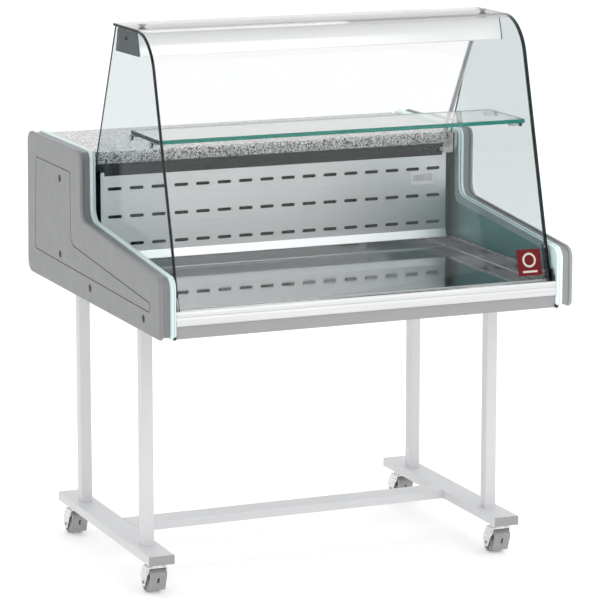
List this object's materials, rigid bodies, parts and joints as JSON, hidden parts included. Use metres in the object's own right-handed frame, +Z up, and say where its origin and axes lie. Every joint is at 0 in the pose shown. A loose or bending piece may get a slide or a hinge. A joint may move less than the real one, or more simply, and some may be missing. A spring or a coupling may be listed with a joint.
{
  "type": "hot food display case",
  "caption": "Castored serve-over food display case with a bent tilting glass front, glass sides and shelf, slotted back panel, stone worktop and open operator side.",
  "frame": {"origin": "on the floor, under the middle of the overall footprint", "axes": "+Z up; the customer side with the sloping glass faces -Y and the operator side +Y; X runs along the length of the case"},
  "size_m": [1.102, 1.0089, 1.4135],
  "materials": {
    "stand_paint": "fine textured light grey powder coat",
    "cap_plastic": "moulded grey",
    "zinc_steel": "bright zinc plate",
    "caster_tread": "warm grey tread",
    "caster_plastic": "moulded grey",
    "panel_abs": "satin vacuum-formed sheet",
    "dark_plastic": "moulded black",
    "galvanised_sheet": "galvanised",
    "fascia_paint": "satin grey",
    "anodised_trim": "pale satin anodised",
    "stainless": "fine horizontal grain",
    "grille_black": "dark perforated",
    "granite": "polished speckled grey",
    "clear_glass": "clear float glass with a green edge",
    "lamp_white": "frosted white",
    "pin_plastic": "clear ribbed"
  },
  "bodies": {
    "case": {"back_duct_panel": "stainless", "base_pan": "galvanised_sheet", "base_rail_left": "stand_paint", "base_rail_right": "stand_paint", "bumper_profile": "anodised_trim", "cable_conduit": "anodised_trim", "cable_gland": "dark_plastic", "canopy_ends": "dark_plastic", "canopy_profile": "anodised_trim", "caster_top_plates": "zinc_steel", "control_panel": "stainless", "cross_stretcher": "stand_paint", "deck_bearers": "galvanised_sheet", "deck_tray": "stainless", "duct_rear_wall": "galvanised_sheet", "fan_frame_left": "dark_plastic", "fan_frame_right": "dark_plastic", "fascia_corner_blocks": "dark_plastic", "front_fascia": "fascia_paint", "glass_shelf": "clear_glass", "glass_sill": "anodised_trim", "granite_worktop": "granite", "heating_element": "stainless", "hinge_bases": "dark_plastic", "inner_wall_left": "stainless", "inner_wall_right": "stainless", "lamp_tube": "lamp_white", "outlet_grille": "grille_black", "post_front_left": "stand_paint", "post_front_right": "stand_paint", "post_rear_left": "stand_paint", "post_rear_right": "stand_paint", "rail_end_caps": "cap_plastic", "rear_panel": "fascia_paint", "shelf_pins": "pin_plastic", "side_glass_left": "clear_glass", "side_glass_right": "clear_glass", "side_panel_left": "panel_abs", "side_panel_right": "panel_abs", "side_panel_screws": "dark_plastic", "worktop_end_trim": "panel_abs"},
    "swivel_front_left": {"caster_yoke_front_left": "zinc_steel"},
    "wheels_front_left": {"caster_wheels_front_left": "caster_tread"},
    "pedal_front_left": {"caster_pedal_front_left": "caster_plastic"},
    "swivel_front_right": {"caster_yoke_front_right": "zinc_steel"},
    "wheels_front_right": {"caster_wheels_front_right": "caster_tread"},
    "pedal_front_right": {"caster_pedal_front_right": "caster_plastic"},
    "swivel_rear_left": {"caster_yoke_rear_left": "zinc_steel"},
    "wheels_rear_left": {"caster_wheels_rear_left": "caster_tread"},
    "pedal_rear_left": {"caster_pedal_rear_left": "caster_plastic"},
    "swivel_rear_right": {"caster_yoke_rear_right": "zinc_steel"},
    "wheels_rear_right": {"caster_wheels_rear_right": "caster_tread"},
    "pedal_rear_right": {"caster_pedal_rear_right": "caster_plastic"},
    "front_pane": {"front_glass": "clear_glass", "glass_arms": "dark_plastic", "glass_buttons": "stainless"},
    "knob": {"thermostat_knob": "dark_plastic"},
    "rocker": {"power_switch": "dark_plastic"},
    "rotor_left": {"fan_rotor_left": "dark_plastic"},
    "rotor_right": {"fan_rotor_right": "dark_plastic"}
  },
  "joints": [
    {"name": "swivel_front_left", "type": "hinge", "parent": "case", "child": "swivel_front_left", "pos_m": [-0.4765, -0.253, 0], "axis": [0, 0, 1], "continuous": true},
    {"name": "roll_front_left", "type": "hinge", "parent": "swivel_front_left", "child": "wheels_front_left", "pos_m": [-0.4765, -0.233, 0.025], "axis": [1, 0, 0], "continuous": true},
    {"name": "brake_front_left", "type": "hinge", "parent": "swivel_front_left", "child": "pedal_front_left", "pos_m": [-0.4765, -0.2655, 0.061], "axis": [1, 0, 0], "range_deg": [0, 5]},
    {"name": "swivel_front_right", "type": "hinge", "parent": "case", "child": "swivel_front_right", "pos_m": [0.4765, -0.253, 0], "axis": [0, 0, 1], "continuous": true},
    {"name": "roll_front_right", "type": "hinge", "parent": "swivel_front_right", "child": "wheels_front_right", "pos_m": [0.4765, -0.233, 0.025], "axis": [1, 0, 0], "continuous": true},
    {"name": "brake_front_right", "type": "hinge", "parent": "swivel_front_right", "child": "pedal_front_right", "pos_m": [0.4765, -0.2655, 0.061], "axis": [1, 0, 0], "range_deg": [0, 5]},
    {"name": "swivel_rear_left", "type": "hinge", "parent": "case", "child": "swivel_rear_left", "pos_m": [-0.4765, 0.347, 0], "axis": [0, 0, 1], "continuous": true},
    {"name": "roll_rear_left", "type": "hinge", "parent": "swivel_rear_left", "child": "wheels_rear_left", "pos_m": [-0.4765, 0.367, 0.025], "axis": [1, 0, 0], "continuous": true},
    {"name": "brake_rear_left", "type": "hinge", "parent": "swivel_rear_left", "child": "pedal_rear_left", "pos_m": [-0.4765, 0.3345, 0.061], "axis": [1, 0, 0], "range_deg": [0, 5]},
    {"name": "swivel_rear_right", "type": "hinge", "parent": "case", "child": "swivel_rear_right", "pos_m": [0.4765, 0.347, 0], "axis": [0, 0, 1], "continuous": true},
    {"name": "roll_rear_right", "type": "hinge", "parent": "swivel_rear_right", "child": "wheels_rear_right", "pos_m": [0.4765, 0.367, 0.025], "axis": [1, 0, 0], "continuous": true},
    {"name": "brake_rear_right", "type": "hinge", "parent": "swivel_rear_right", "child": "pedal_rear_right", "pos_m": [0.4765, 0.3345, 0.061], "axis": [1, 0, 0], "range_deg": [0, 5]},
    {"name": "front_pane_tilt", "type": "hinge", "parent": "case", "child": "front_pane", "pos_m": [0, -0.4865, 0.768], "axis": [1, 0, 0], "range_deg": [0, 65]},
    {"name": "thermostat_turn", "type": "hinge", "parent": "case", "child": "knob", "pos_m": [0.42, 0.485, 0.946], "axis": [0, -1, 0], "range_deg": [0, 270]},
    {"name": "power_rocker", "type": "hinge", "parent": "case", "child": "rocker", "pos_m": [0.33, 0.48, 0.946], "axis": [-1, 0, 0], "range_deg": [0, 14]},
    {"name": "fan_spin_left", "type": "hinge", "parent": "case", "child": "rotor_left", "pos_m": [-0.22, 0.27, 0.88], "axis": [0, 1, 0], "continuous": true},
    {"name": "fan_spin_right", "type": "hinge", "parent": "case", "child": "rotor_right", "pos_m": [0.22, 0.27, 0.88], "axis": [0, 1, 0], "continuous": true}
  ]
}
